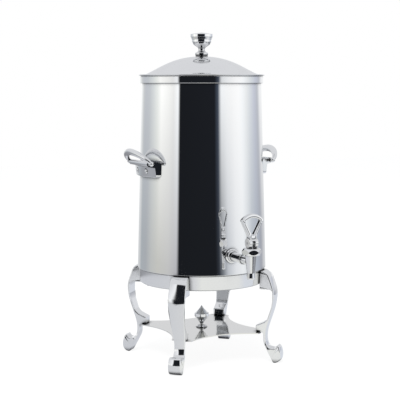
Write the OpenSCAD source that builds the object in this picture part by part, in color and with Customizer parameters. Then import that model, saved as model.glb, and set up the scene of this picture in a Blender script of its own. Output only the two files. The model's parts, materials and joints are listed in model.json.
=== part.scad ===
// Coffee urn: an insulated steel drum on four cast cabriole legs, with a lift-off domed lid,
// two hinged side handles and a lever tap. Z is up, the tap faces -Y and the handles +X and -X.
// The origin lies on the floor, below the middle of the whole outline.

/* [Drum] */
// Outside radius of the drum at its foot
foot_r = 129; // [124:0.5:140]
// Outside radius of the drum under the rim collar
rim_r = 118.4; // [113:0.2:126]
// Height of the tapered drum, from its foot to the rim collar
drum_h = 366.6; // [300:1:450]
// Thickness of the drum, liner and lid sheet
sheet = 1; // [0.8:0.1:1.4]
// Clearance between seated pieces
seat_gap = 0.3; // [0.2:0.05:0.35]
// Height of the rim collar
collar_h = 13.4; // [10:0.2:20]
// How far the rim collar stands out from the drum
collar_proud = 3.9; // [3:0.1:6]
// Insulated gap between drum and liner at the rim
jacket_gap = 7.4; // [6:0.2:10]
// Height of the liner's floor above the drum's foot
liner_up = 14; // [10:0.5:17]
// Radius of the liner's bottom corner
liner_corner = 12; // [5:0.5:14]

/* [Lid] */
// How far the lid's brim stands out from the rim collar
brim_proud = 2.9; // [2:0.1:5]
// Radius of the rolled edge of the brim
brim_bead = 1.3; // [1:0.1:1.6]
// Height of the dome above the rolled edge
dome_h = 37.4; // [25:0.5:55]
// Depth of the lid's inner pan below the rim
pan_depth = 11; // [8:0.5:20]
// Clearance between the inner pan and the liner
pan_gap = 0.8; // [0.5:0.1:1.5]

/* [Knob] */
// Height of the lid knob above the dome
knob_h = 46.6; // [42:0.5:60]
// Height of the knob's foot collar
knob_collar_h = 8; // [6:0.5:10]
// Height of the knob's neck, with its hollow curves
knob_neck_h = 8; // [7:0.5:10]
// Height of the knob's cup
knob_cup_h = 11.4; // [10:0.2:14]
// Radius of the knob's widest ring
knob_r = 22.5; // [18:0.5:28]
// Radius of the knob's neck
knob_neck_r = 6.6; // [5:0.2:9]
// Radius of the knob's foot collar
knob_foot_r = 13; // [10:0.5:16]

/* [Base] */
// Height of the base band's lower edge above the floor
stand_h = 158.2; // [145:0.5:175]
// Height of the base band
band_h = 27.5; // [24:0.5:34]
// How far the base band is set in from the drum's foot
band_inset = 2.2; // [1:0.1:3.5]
// How much narrower the base band is at its lower edge
band_draft = 1; // [0:0.1:2]
// Thickness of the base band and base plate
band_t = 1.5; // [1:0.1:2]

/* [Legs] */
// Half the width of a leg at its pad
pad_half_w = 16; // [14:0.5:21]
// Half the width of a leg at its ankle
ankle_half_w = 10.6; // [9:0.2:13]
// Half the width of a leg at its foot
toe_half_w = 12.6; // [10:0.2:15]
// How far the knee stands out from the base band
knee_out = 29.8; // [24:0.2:36]
// How far the foot's scroll stands out from the base band
toe_out = 43; // [38:0.5:52]
// Thickness of the leg casting
leg_t = 5.8; // [5.2:0.1:7.5]
// Edge radius of the leg casting
leg_edge_r = 2; // [1:0.1:2.2]
// Crown across the leg's front
leg_crown = 1.1; // [0:0.1:1.6]
// Height of the leg's pad below the base band
pad_drop = 10.7; // [6:0.1:16]
// Height of the cross plate's top above the floor
plate_z = 60; // [52:0.5:68]

/* [Cross plate] */
// Thickness of the cross plate
plate_t = 2; // [1.5:0.1:3]
// Radius of the plate at the middle of each hollow side
plate_waist_r = 80; // [66:1:92]
// Radius of each hollow side
plate_cut_r = 134; // [125:1:145]
// How far each leg's lug reaches in from the base band
lug_in = 9.8; // [8:0.2:13]
// Height of the finial
finial_h = 45.1; // [36:0.5:60]
// Radius of the finial's band
finial_r = 14.5; // [11:0.5:18]

/* [Handles] */
// Distance of the hinge pin from the urn's axis
pin_x = 133.8; // [131:0.2:138]
// Height of the hinge pin above the drum's foot
pin_up = 213.3; // [180:1:250]
// Radius of the hinge pin
pin_r = 2.5; // [2:0.1:3]
// Half the width of the handle bracket
bracket_half_w = 47; // [42:0.5:50]
// Height of the handle bracket
bracket_h = 23; // [20:0.5:30]
// How far the bracket's upper edge stands out from the drum
bracket_proud = 10.5; // [8:0.5:11]
// How far the bracket's lower edge stands out from the drum
bracket_foot_proud = 7; // [4:0.5:8]
// Angle by which the bracket's ends are turned outwards
bracket_end_turn = 17; // [0:1:22]
// Reach of the bail from its pin
bail_reach = 29.5; // [26:0.5:34]
// Angle of the bail above the horizontal
bail_angle = 46; // [20:1:60]
// Half the thickness of the bail at its middle
bail_thick = 6; // [4:0.1:6.4]
// Half the width of the bail at its middle
bail_wide = 7.2; // [5:0.1:7.8]
// Radius of the knuckles at the bail's ends
knuckle_r = 4.8; // [4:0.1:5.4]

/* [Tap] */
// Height of the tap's shank above the drum's foot
tap_up = 38; // [34:0.5:60]
// Distance of the tap's upright axis from the urn's axis
tap_y = 205; // [198:0.5:212]
// Radius of the shank
shank_r = 8.5; // [7.5:0.1:9.5]
// Radius of the water way
way_r = 4.5; // [3:0.1:5]
// Radius of the wall flange
flange_r = 14; // [12:0.5:18]
// Width across the bonnet's flats
bonnet_af = 33; // [30:0.5:36]
// Height of the bonnet
bonnet_h = 13; // [11:0.2:16]
// Angle of the bonnet's front face from the tap's direction
bonnet_turn = -16; // [-30:0.5:30]
// Length of the tapered body, along its axis
spout_l = 42; // [38:0.5:48]
// Tilt of the tapered body
spout_tilt = 8.2; // [6:0.2:12]
// Radius of the tapered body under the bonnet
spout_top_r = 10.8; // [10:0.1:12]
// Radius of the tapered body at its mouth
spout_tip_r = 6.4; // [6:0.1:8]

/* [Lever] */
// Travel of the stem
stem_lift = 3; // [2:0.1:4]
// Angle of the lever when the tap is full open
lever_open = 55; // [40:1:60]
// Radius of the lever's cam at rest
cam_r = 9.4; // [8.5:0.1:10.5]
// Width of the lever's hub
hub_w = 19; // [16:0.5:22]
// Width of the slot in the hub
slot_w = 6.4; // [5:0.1:7]
// Radius of the lever's pin
lever_pin_r = 2; // [1.6:0.1:2.4]
// Height of the lever's top above its pin
lever_h = 54.8; // [46:0.5:70]
// Half the width of the lever at its shoulders
lever_half_w = 22.2; // [17:0.2:25]
// Thickness of the lever's bars
lever_bar = 5.2; // [4.5:0.1:7]
// Depth of the lever, from front to back
lever_d = 12.3; // [9:0.1:15]
// Running clearance of pins and shafts
run_gap = 0.05; // [0.02:0.01:0.08]

/* [Hidden] */
$fn = 96;

chrome = "#c9cbcf";
steel = "#b9bcc0";
rubber = "#26262a";
wool = "#d8cfae";

// Heights of the drum, its collar and its lid
band_top = stand_h + band_h;
drum_z = band_top + seat_gap;
collar_z = drum_z + drum_h;
collar_top = collar_z + collar_h;
rim_top = collar_top + sheet;
bead_z = rim_top + seat_gap + brim_bead;
dome_z = bead_z + dome_h;

// Radii of the drum's pieces
band_r = foot_r - band_inset;
collar_r = rim_r + collar_proud;
brim_r = collar_r + brim_proud;
liner_out = rim_r - sheet - jacket_gap;
liner_in = liner_out - sheet;
liner_z = drum_z + liner_up;
hem = 12;
band_lip = 26;
function drum_r(z) = foot_r + (rim_r - foot_r) * (z - drum_z) / drum_h;

// Outline helpers: a unit vector, a turned vector and a corner's turning angle
function unit(v) = v / norm(v);
function turned(v, a) = [v[0] * cos(a) - v[1] * sin(a), v[0] * sin(a) + v[1] * cos(a)];
// A closed outline from corners [x, y, radius], with a point on each arc every step degrees
function rounded(corners, step = 15) = [
    for (i = [0:len(corners) - 1])
        let (n = len(corners), c = corners[i], p = [c[0], c[1]],
            a = corners[(i + n - 1) % n], b = corners[(i + 1) % n],
            u = unit([a[0], a[1]] - p), v = unit([b[0], b[1]] - p),
            turn = 180 - acos(max(-1, min(1, u * v))),
            way = (v[0] * u[1] - v[1] * u[0]) > 0 ? 1 : -1,
            centre = p + unit(u + v) * c[2] / cos(turn / 2),
            start = p + u * c[2] * tan(turn / 2) - centre,
            count = max(1, ceil(turn / step)))
        each (c[2] == 0 ? [p] : [for (j = [0:count]) centre + turned(start, way * turn * j / count)])
];
// Points of an arc about a centre
function arc(cx, cy, r, a, b, count) =
    [for (i = [0:count]) [cx + r * cos(a + (b - a) * i / count), cy + r * sin(a + (b - a) * i / count)]];

// Moves the urn's axis to its place behind the origin
bonnet_corner = bonnet_af / 2 / cos(30);
tap_reach = tap_y + bonnet_corner * cos(bonnet_turn + 30);
axis_y = (tap_reach - foot_r) / 2;
module from_axis() translate([0, axis_y, 0]) children();
// Turns +X to a direction counted from the tap's, towards +X
module facing(a) rotate([0, 0, a - 90]) children();
// A hole along +X, from one radius to another
module radial_hole(r, from, to) translate([from, 0, 0]) rotate([0, 90, 0]) cylinder(r = r, h = to - from);
// A solid of revolution about the urn's axis, from rounded corners
module turned_part(corners, step = 15) rotate_extrude($fn = 180) polygon(rounded(corners, step));
// The space inside a cone that fits the drum with a clearance
module drum_space(gap, z0, z1) translate([0, 0, z0])
    cylinder(r1 = drum_r(z0) + gap, r2 = drum_r(z1) + gap, h = z1 - z0, $fn = 180);

// ---- Drum ----
tap_z = drum_z + tap_up;
pin_z = drum_z + pin_up;
tap_hole_r = shank_r + seat_gap;
bracket_screw_y = 20;
bracket_screw_r = 2.5;
bracket_top = pin_z - 4.3;
bracket_foot = bracket_top - bracket_h;
bracket_screw_z = (bracket_top + bracket_foot) / 2;

module bracket_screw_places() for (a = [90, -90], s = [-1, 1])
    facing(a) translate([0, s * bracket_screw_y, bracket_screw_z]) children();

module outer_drum() from_axis() color(chrome) difference() {
    top = collar_top - sheet - seat_gap;
    turned_part([[foot_r - hem, drum_z, 0], [foot_r, drum_z, 1], [drum_r(top), top, 0],
        [drum_r(top) - sheet, top, 0], [foot_r - sheet, drum_z + sheet, 0],
        [foot_r - hem, drum_z + sheet, 0]]);
    translate([0, 0, tap_z]) facing(0) radial_hole(tap_hole_r, foot_r - 20, foot_r + 5);
    bracket_screw_places() radial_hole(bracket_screw_r + seat_gap, foot_r - 25, foot_r + 5);
}

module rim_collar() from_axis() color(chrome) {
    inner = drum_r(collar_z) + seat_gap;
    turned_part([[inner, collar_z, 0], [collar_r, collar_z, 0.9], [collar_r, collar_top, 0.9],
        [liner_out + seat_gap, collar_top, 0], [liner_out + seat_gap, collar_top - sheet, 0],
        [collar_r - sheet, collar_top - sheet, 0], [collar_r - sheet, collar_z + sheet, 0],
        [inner, collar_z + sheet, 0]]);
}

module inner_liner() from_axis() color(steel) difference() {
    turned_part([[0, liner_z, 0], [liner_out, liner_z, liner_corner + sheet], [liner_out, collar_top, 0],
        [collar_r - 1.8, collar_top, 0], [collar_r - 1.8, rim_top, 0], [liner_in, rim_top, 0.8],
        [liner_in, liner_z + sheet, liner_corner], [0, liner_z + sheet, 0]]);
    translate([0, 0, tap_z]) facing(0) radial_hole(tap_hole_r, liner_in - 10, liner_out + 5);
}

jacket_clear = 0.5;
module insulation_jacket() from_axis() color(wool) difference() {
    foot = drum_z + sheet + jacket_clear;
    top = collar_z - 2;
    turned_part([[liner_out + jacket_clear, foot, 0],
        [drum_r(foot) - sheet - jacket_clear, foot, 0],
        [drum_r(top) - sheet - jacket_clear, top, 0], [liner_out + jacket_clear, top, 0]]);
    translate([0, 0, tap_z]) facing(0) radial_hole(tap_hole_r + 2, liner_in - 10, foot_r + 5);
    bracket_screw_places() radial_hole(bracket_screw_r * 2 + 1.5, liner_out - 5, foot_r + 5);
}

module insulation_pad() from_axis() color(wool)
    translate([0, 0, drum_z])
        cylinder(r = liner_out - 0.5, h = liner_up - seat_gap, $fn = 120);

// ---- Lid ----
// The dome is an ogee: hollow beside the brim and full over the middle
flare_r = brim_r - brim_bead;
function dome_at(r, top, outer) =
    let (t = r / outer) top * (1 - t * t) * (1 - t * t) * (1 + 0.95 * t * t);
dome_steps = 16;
knob_hole_r = 2.6;

module lid_shell() from_axis() color(chrome) {
    edge = flare_r - brim_bead;
    radii = [for (i = [0:dome_steps]) knob_hole_r + (edge - knob_hole_r) * i / dome_steps];
    under = [for (r = radii) [r, bead_z - sheet / 2 + dome_at(r, dome_h, flare_r)]];
    over = [for (i = [dome_steps:-1:0])
        [radii[i], bead_z + sheet / 2 + dome_at(radii[i], dome_h - sheet / 2, flare_r)]];
    bead = arc(flare_r, bead_z, brim_bead, -150, 150, 10);
    rotate_extrude($fn = 180) polygon(concat(under, bead, over));
}

pan_top = rim_top + seat_gap;
pan_r = liner_in - pan_gap;
pan_t = 0.6;
module lid_pan() from_axis() color(steel) {
    foot = rim_top - pan_depth;
    rim = flare_r - brim_bead * 2;
    corner = 3;
    turned_part([[0, foot, 0], [pan_r, foot, corner], [pan_r, pan_top, 0], [rim, pan_top, 0],
        [rim, pan_top + pan_t, 0], [pan_r - pan_t, pan_top + pan_t, 0],
        [pan_r - pan_t, foot + pan_t, corner - pan_t], [0, foot + pan_t, 0]]);
}

// ---- Knob ----
knob_thread_r = 2;
knob_seat = 0.15;
knob_screw_l = 12.8;
washer_t = 1.2;
washer_z = dome_z - sheet / 2 - seat_gap - washer_t;
module lid_knob() from_axis() color(chrome) {
    foot = dome_z + knob_seat;
    collar_end = foot + knob_collar_h;
    neck_end = collar_end + knob_neck_h;
    cup_end = neck_end + knob_cup_h;
    top = foot + knob_h;
    step1 = cup_end + (top - cup_end) * 0.29;
    step2 = cup_end + (top - cup_end) * 0.5;
    step3 = cup_end + (top - cup_end) * 0.84;
    difference() {
        turned_part([[0, foot, 0], [knob_foot_r - 1, foot, 0], [knob_foot_r, foot + 3, 2],
            [knob_foot_r, collar_end - 1.5, 1.2], [knob_neck_r + 2.5, collar_end, 1],
            [knob_neck_r, collar_end + 2.5, 2], [knob_neck_r, neck_end, 4],
            [knob_r - 6, cup_end - 4.5, 7], [knob_r - 4.1, cup_end, 0],
            [knob_r - 3, cup_end + 0.4, 0.3], [knob_r - 3, step1, 0.3], [knob_r - 1.9, step1 + 0.3, 0],
            [knob_r - 1.5, step2, 0.3], [knob_r, step2 + 0.4, 0.3], [knob_r, step3 - 0.6, 0.6],
            [knob_r - 2, step3, 0], [knob_r - 12, top - 1.4, 8], [0, top, 0]], 20);
        translate([0, 0, foot]) cylinder(r = knob_thread_r + run_gap, h = neck_end - foot, $fn = 32);
    }
}

module knob_screw() from_axis() color(steel) {
    translate([0, 0, washer_z - 3]) cylinder(r1 = 3, r2 = 4, h = 3, $fn = 40);
    translate([0, 0, washer_z]) cylinder(r = knob_thread_r, h = washer_t + knob_screw_l, $fn = 32);
}

module knob_washer() from_axis() color(steel) translate([0, 0, washer_z]) difference() {
    cylinder(r = 6.5, h = washer_t, $fn = 48);
    translate([0, 0, -1]) cylinder(r = knob_thread_r + 0.2, h = washer_t + 2, $fn = 32);
}

// ---- Base ----
leg_azimuths = [-45, 45, 135, -135];
leg_screw_y = 9;
leg_screw_r = 3;
leg_screw_z = stand_h + band_h * 0.5;
base_screw_x = band_r - 9;
module base_band() from_axis() color(chrome) difference() {
    low_r = band_r - band_draft;
    turned_part([[low_r - 14, stand_h, 0], [low_r, stand_h, 1.2], [band_r, band_top, 1.2],
        [band_r - band_lip, band_top, 0], [band_r - band_lip, band_top - band_t, 0],
        [band_r - band_t, band_top - band_t, 0], [low_r - band_t, stand_h + band_t, 0],
        [low_r - 14, stand_h + band_t, 0]]);
    for (a = leg_azimuths, s = [-1, 1]) facing(a) translate([0, s * leg_screw_y, leg_screw_z])
        radial_hole(leg_screw_r + 0.2, band_r - 12, band_r + 5);
    for (a = [0:90:270]) facing(a) translate([base_screw_x, 0, stand_h - 1])
        cylinder(r = 1.5 + run_gap, h = band_t + 2, $fn = 24);
}

dish = 3;
module base_plate() from_axis() color(steel) difference() {
    rim = band_r - band_draft - 3;
    inner = rim - 18;
    turned_part([[0, stand_h - band_t - dish, 0], [inner, stand_h - band_t - dish, 2],
        [inner + dish, stand_h - band_t, 1], [rim, stand_h - band_t, 0], [rim, stand_h, 0],
        [inner + dish - 0.6, stand_h, 1], [inner - 0.6, stand_h - dish, 2], [0, stand_h - dish, 0]]);
    for (a = [0:90:270]) facing(a) translate([base_screw_x, 0, stand_h - band_t - 1])
        cylinder(r = 1.8, h = band_t + 2, $fn = 24);
}

module base_screws() from_axis() color(steel) for (a = [0:90:270]) facing(a)
    translate([base_screw_x, 0, stand_h - band_t]) {
        translate([0, 0, -2]) cylinder(r1 = 2.2, r2 = 3.2, h = 2, $fn = 32);
        cylinder(r = 1.5, h = band_t * 2 + 3, $fn = 24);
    }

// ---- Legs ----
// Side outline of a leg in its own upright plane: x is the distance from the urn's axis
pad_r = band_r + seat_gap;
leg_top = band_top - 1.5;
pad_foot = stand_h - pad_drop;
knee_r = band_r + knee_out;
knee_z = stand_h - 30;
ankle_r = band_r + 11.3;
toe_r = band_r + toe_out;
lug_r = band_r - lug_in;
lug_h = 13.6;
sole_r = toe_r - 16.6;
function leg_outline() = rounded([
    [pad_r - 2.5, leg_top, 2.2], [pad_r - 2.5, pad_foot, 2.4],
    [knee_r - leg_t + 0.4, pad_foot, 6], [knee_r - leg_t + 0.4, knee_z - 10.7, 60],
    [knee_r - 17.4, plate_z + 23.2, 20], [lug_r, plate_z + lug_h, 3], [lug_r, plate_z, 2.2],
    [ankle_r - leg_t, plate_z, 5], [ankle_r - leg_t, 38, 26], [sole_r, 0, 3],
    [toe_r, 0, 13], [toe_r, 31.5, 6.5], [toe_r - 8, 35.5, 2.6],
    [toe_r - 13.3, 27.4, 6], [ankle_r, 27.4, 14], [ankle_r, plate_z - 6.2, 70],
    [knee_r + 2.95, knee_z, 80], [knee_r - 11.6, leg_top, 18]], 15);
function leg_half_w(z) = lookup(z, [[0, toe_half_w], [24, toe_half_w], [38, ankle_half_w],
    [plate_z - 8, ankle_half_w], [stand_h - 20, pad_half_w], [leg_top, pad_half_w]]);

// Layers across the leg: 0 is the flat side, 1 and 2 its rounded edge, and 3 the crowned middle
leg_layers = [0, 1, 2, 3, 3, 2, 1, 0];
function layer_y(k, side, w) = side * (k == 0 ? w : k == 1 ? w - leg_edge_r * (1 - sin(45))
    : k == 2 ? w - leg_edge_r : (w - leg_edge_r) * 0.4);
function layer_inset(k) = k == 0 ? leg_edge_r : k == 1 ? leg_edge_r * (1 - cos(45)) : 0;
function layer_crown(k) = k == 3 ? leg_crown * 0.16 : leg_crown;
// A closed outline with no edge longer than a limit
function divided(p, limit) = [for (i = [0:len(p) - 1])
    let (a = p[i], b = p[(i + 1) % len(p)], count = ceil(norm(b - a) / limit))
    each [for (j = [0:count - 1]) a + (b - a) * j / count]];
// Triangles of a side: they zip the inner run of the outline to the outer run, from the pad to the
// foot. Above the ankle the higher point goes first, and below it the shorter line.
function inner_first(p, i, j) = max(p[i + 1][1], p[j - 1][1]) > plate_z - 16
    ? p[i + 1][1] >= p[j - 1][1] : norm(p[i + 1] - p[j]) < norm(p[i] - p[j - 1]);
function side_area(a, b, c) = (b[0] - a[0]) * (c[1] - a[1]) - (b[1] - a[1]) * (c[0] - a[0]);
function zipped(p, i, j, done = []) = j - i < 2 ? done
    : (inner_first(p, i, j) && side_area(p[i], p[i + 1], p[j]) > 0)
        || side_area(p[i], p[j - 1], p[j]) <= 0
        ? zipped(p, i + 1, j, concat(done, [[i, i + 1, j]]))
        : zipped(p, i, j - 1, concat(done, [[i, j - 1, j]]));

module leg_casting() {
    ring = divided(leg_outline(), 10);
    n = len(ring);
    m = len(leg_layers);
    points = [for (j = [0:m - 1], i = [0:n - 1])
        let (k = leg_layers[j], side = j < m / 2 ? -1 : 1, p = ring[i],
            t = unit(ring[(i + 1) % n] - ring[(i + n - 1) % n]), out = [t[1], -t[0]],
            d = layer_inset(k) + layer_crown(k) * max(0, out[0]), w = leg_half_w(p[1]))
        [p[0] - out[0] * d, layer_y(k, side, w), p[1] - out[1] * d]];
    side = zipped(ring, 0, n - 1);
    faces = concat(
        [for (f = side) [f[2], f[1], f[0]]], [for (f = side) [for (i = f) (m - 1) * n + i]],
        [for (j = [0:m - 2], i = [0:n - 1]) let (i2 = (i + 1) % n)
            [j * n + i, j * n + i2, (j + 1) * n + i2, (j + 1) * n + i]]);
    polyhedron(points, faces, convexity = 6);
}

module leg(a) from_axis() color(chrome) facing(a) difference() {
    leg_casting();
    translate([0, 0, pad_foot - 5]) cylinder(r = pad_r, h = leg_top - pad_foot + 10, $fn = 180);
    for (s = [-1, 1]) translate([0, s * leg_screw_y, leg_screw_z])
        radial_hole(leg_screw_r + run_gap, pad_r - 5, pad_r + 9);
    translate([plate_screw_x, 0, plate_z - 1]) cylinder(r = plate_screw_r + run_gap, h = 10, $fn = 32);
}
module leg_front_left() leg(-45);
module leg_front_right() leg(45);
module leg_back_left() leg(-135);
module leg_back_right() leg(135);

module leg_screws() from_axis() color(steel) for (a = leg_azimuths, s = [-1, 1])
    facing(a) translate([0, s * leg_screw_y, leg_screw_z]) {
        seat = band_r - band_t - band_draft - 0.8;
        translate([seat - 3.5, 0, 0]) rotate([0, 90, 0]) cylinder(r = 5, h = 3.5, $fn = 6);
        radial_hole(leg_screw_r, seat, pad_r + 8);
    }

// ---- Cross plate ----
plate_end_r = ankle_r - leg_t - 6;
plate_screw_x = lug_r + 4.2;
plate_screw_r = 2.5;
plate_under = plate_z - plate_t;
stud_r = 3;
module cross_plate() from_axis() color(chrome) translate([0, 0, plate_under]) difference() {
    linear_extrude(plate_t) difference() {
        circle(r = plate_end_r, $fn = 120);
        for (a = [0:90:270]) rotate(a) translate([plate_waist_r + plate_cut_r, 0])
            circle(r = plate_cut_r, $fn = 180);
    }
    for (a = leg_azimuths) facing(a) translate([plate_screw_x, 0, -1])
        cylinder(r = plate_screw_r + 0.2, h = plate_t + 2, $fn = 32);
    translate([0, 0, -1]) cylinder(r = stud_r + 0.2, h = plate_t + 2, $fn = 32);
}

module plate_screws() from_axis() color(steel) for (a = leg_azimuths) facing(a)
    translate([plate_screw_x, 0, plate_under]) {
        rotate_extrude($fn = 48) polygon(concat([[0, 0]], arc(0, 0, 4.2, 0, -90, 5)));
        cylinder(r = plate_screw_r, h = plate_t + 8, $fn = 32);
    }

module finial() from_axis() color(chrome) {
    bowl = plate_z + finial_h * 0.488;
    brow = plate_z + finial_h * 0.648;
    tip = plate_z + finial_h;
    turned_part([[0, plate_z - 9, 0], [stud_r, plate_z - 9, 0], [stud_r, plate_z, 0],
        [finial_r - 3.5, plate_z, 0], [finial_r - 3.5, plate_z + 2.2, 0.8], [finial_r - 6, plate_z + 4, 1],
        [3.5, plate_z + 4.4, 1], [3.5, plate_z + 8, 3], [finial_r - 2, bowl - 2, 9],
        [finial_r, bowl + 0.6, 0.8], [finial_r, brow - 0.6, 0.8], [finial_r - 1.6, brow, 0.5],
        [3.6, tip - 5.5, 12], [0, tip, 0]], 20);
}

module finial_nut() from_axis() color(steel) translate([0, 0, plate_under - 5]) difference() {
    cylinder(r = 5.5, h = 5, $fn = 6);
    translate([0, 0, -1]) cylinder(r = stud_r + run_gap, h = 7, $fn = 32);
}

// ---- Handles ----
hinge_r = 5.4;
end_set_in = 2.5;
knuckle_y = bracket_half_w + 5.9;
screw_head_r = 5.2;
// The space within one end of the bracket: an upright plane, turned outwards, with a round foot
module bracket_end() translate([pin_x, bracket_half_w - end_set_in, bracket_foot])
    rotate([0, 0, -bracket_end_turn]) rotate([90, 0, 90]) linear_extrude(90, center = true)
        polygon(rounded([[-150, 0, 0], [0, 0, 5], [0, 60, 0], [-150, 60, 0]]));
// A body that hugs the drum, and a straight barrel for the pin along its upper edge
module handle_bracket() difference() {
    intersection() {
        union() {
            turned_part([[drum_r(bracket_foot) - 2, bracket_foot, 0],
                [drum_r(bracket_foot) + bracket_foot_proud, bracket_foot, 1.5],
                [drum_r(bracket_top) + bracket_proud, bracket_top, 2.5],
                [drum_r(bracket_top) - 2, bracket_top, 0]]);
            translate([pin_x, 0, pin_z]) rotate([90, 0, 0])
                linear_extrude(bracket_half_w * 2 + 10, center = true) polygon(rounded([
                    [-26, bracket_top - 7 - pin_z, 0], [hinge_r, -hinge_r, hinge_r],
                    [hinge_r, hinge_r, hinge_r - 0.6], [-26, -1, 0]]));
        }
        bracket_end();
        mirror([0, 1, 0]) bracket_end();
        translate([0, -foot_r, 0]) cube([foot_r * 2, foot_r * 2, pin_z + 20]);
    }
    drum_space(seat_gap, bracket_foot - 10, pin_z + 20);
    translate([pin_x, 0, pin_z]) rotate([90, 0, 0])
        cylinder(r = pin_r + run_gap, h = bracket_half_w * 2 + 12, center = true, $fn = 40);
    for (s = [-1, 1]) translate([0, s * bracket_screw_y, bracket_screw_z]) {
        radial_hole(bracket_screw_r + 0.2, foot_r - 20, foot_r + 20);
        radial_hole(screw_head_r + seat_gap, screw_seat_x, foot_r + 20);
    }
}
module bracket_right() from_axis() color(chrome) handle_bracket();
module bracket_left() from_axis() color(chrome) rotate([0, 0, 180]) handle_bracket();

// Each screw's head sits in a flat seat, sunk into the bracket's outer face
face_proud = (bracket_proud + bracket_foot_proud) / 2;
screw_seat_x = sqrt(pow(drum_r(bracket_screw_z) + face_proud, 2) - pow(bracket_screw_y, 2)) - 0.8;
module bracket_screws() from_axis() color(chrome) bracket_screw_places() {
    translate([screw_seat_x, 0, 0]) rotate([0, 90, 0]) rotate_extrude($fn = 48)
        polygon([[0, 0], [screw_head_r, 0], [screw_head_r - 0.3, 1.2], [3.6, 2.5], [1.8, 3.1], [0, 3.3]]);
    radial_hole(bracket_screw_r, nut_seat_x - 5, screw_seat_x + 0.5);
}

nut_seat_x = sqrt(pow(drum_r(bracket_screw_z) - sheet, 2) - pow(bracket_screw_y + 4, 2)) - 0.5;
module bracket_nuts() from_axis() color(steel) bracket_screw_places() difference() {
    translate([nut_seat_x - 3, 0, 0]) rotate([0, 90, 0]) cylinder(r = 4.6, h = 3, $fn = 6);
    radial_hole(bracket_screw_r + run_gap, nut_seat_x - 5, nut_seat_x + 2);
}

pin_half = knuckle_y + 2;
module hinge_pin() translate([pin_x, 0, pin_z]) rotate([90, 0, 0])
    cylinder(r = pin_r, h = pin_half * 2, center = true, $fn = 40);
module hinge_pin_right() from_axis() color(chrome) hinge_pin();
module hinge_pin_left() from_axis() color(chrome) rotate([0, 0, 180]) hinge_pin();

// The bail's centre line is a superellipse, and its section swells from the knuckles to the middle
bail_power = 1.75;
bail_end_wide = 2.5;
bail_end_thick = 2.4;
bail_rings = 28;
bail_sides = 14;
function bail_line(f) = let (c = cos(f), s = sin(f))
    [pow(s, 2 / bail_power) * bail_reach, sign(c) * pow(abs(c), 2 / bail_power) * knuckle_y];
module bail_bow() {
    first = 7;
    angles = [for (i = [0:bail_rings]) first + (180 - 2 * first) * i / bail_rings];
    points = [for (f = angles)
        let (p = bail_line(f), t = unit(bail_line(f + 1) - bail_line(f - 1)), out = [-t[1], t[0]],
            swell = pow(sin(f), 0.7), a = bail_end_wide + (bail_wide - bail_end_wide) * swell,
            b = bail_end_thick + (bail_thick - bail_end_thick) * swell)
        for (k = [0:bail_sides - 1]) let (g = 360 * k / bail_sides)
            [p[0] + out[0] * a * cos(g), p[1] + out[1] * a * cos(g), b * sin(g)]];
    n = bail_sides;
    faces = concat([[for (k = [0:n - 1]) k]], [[for (k = [n - 1:-1:0]) bail_rings * n + k]],
        [for (i = [0:bail_rings - 1], k = [0:n - 1]) let (k2 = (k + 1) % n)
            [i * n + k, (i + 1) * n + k, (i + 1) * n + k2, i * n + k2]]);
    polyhedron(points, faces, convexity = 4);
}

collar_in = 6.8;
collar_end_r = 4;
module bail() translate([pin_x, 0, pin_z]) rotate([0, -bail_angle, 0]) difference() {
    union() {
        bail_bow();
        for (s = [0, 1]) mirror([0, s, 0]) translate([0, knuckle_y, 0]) rotate([-90, 0, 0])
            rotate_extrude($fn = 48) polygon(concat([[0, -collar_in], [collar_end_r, -collar_in],
                [collar_end_r, -4.3], [3.4, -4]], arc(0, 0, knuckle_r, -42, 90, 10)));
    }
    rotate([90, 0, 0])
        cylinder(r = pin_r + run_gap, h = (pin_half + seat_gap) * 2, center = true, $fn = 40);
}
module bail_right() from_axis() color(chrome) bail();
module bail_left() from_axis() color(chrome) rotate([0, 0, 180]) bail();

// ---- Tap ----
// The shank's pieces are turned about the tap's level axis: z runs outwards from the urn's axis
module along_tap() translate([0, 0, tap_z]) rotate([90, 0, 0]) children();
module at_tap() translate([0, -tap_y, 0]) children();
wall_r = drum_r(tap_z);
flange_t = 4;
nut_t = 4.7;
shank_end = tap_y - 33;
shank_start = liner_in - 13;
gasket_t = 1.5;
inner_gasket_r = 11.5;
gasket_face = liner_in - 3.5;

module tap_flange() from_axis() color(chrome) difference() {
    face = wall_r + flange_t;
    along_tap() difference() {
        rotate_extrude() polygon(rounded([[0, wall_r - 4, 0], [flange_r, wall_r - 4, 0],
            [flange_r, face - 1.6, 1], [flange_r - 2.5, face, 2], [0, face, 0]]));
        translate([0, 0, wall_r - 6]) cylinder(r = shank_r + 0.1, h = flange_t + 8, $fn = 64);
    }
    drum_space(gasket_t + 0.1, tap_z - 25, tap_z + 25);
}

module outer_gasket() from_axis() color(rubber) intersection() {
    along_tap() translate([0, 0, wall_r - 5]) difference() {
        cylinder(r = flange_r - 1, h = 9, $fn = 64);
        translate([0, 0, -1]) cylinder(r = shank_r + 0.1, h = 12, $fn = 64);
    }
    difference() {
        drum_space(gasket_t, tap_z - 24, tap_z + 24);
        drum_space(0.05, tap_z - 25, tap_z + 25);
    }
}

module inner_gasket() from_axis() color(rubber) intersection() {
    along_tap() translate([0, 0, gasket_face]) difference() {
        cylinder(r = inner_gasket_r, h = 5, $fn = 64);
        translate([0, 0, -1]) cylinder(r = shank_r + 0.1, h = 12, $fn = 64);
    }
    translate([0, 0, tap_z - 20]) cylinder(r = liner_in - 0.15, h = 40, $fn = 180);
}

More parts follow.
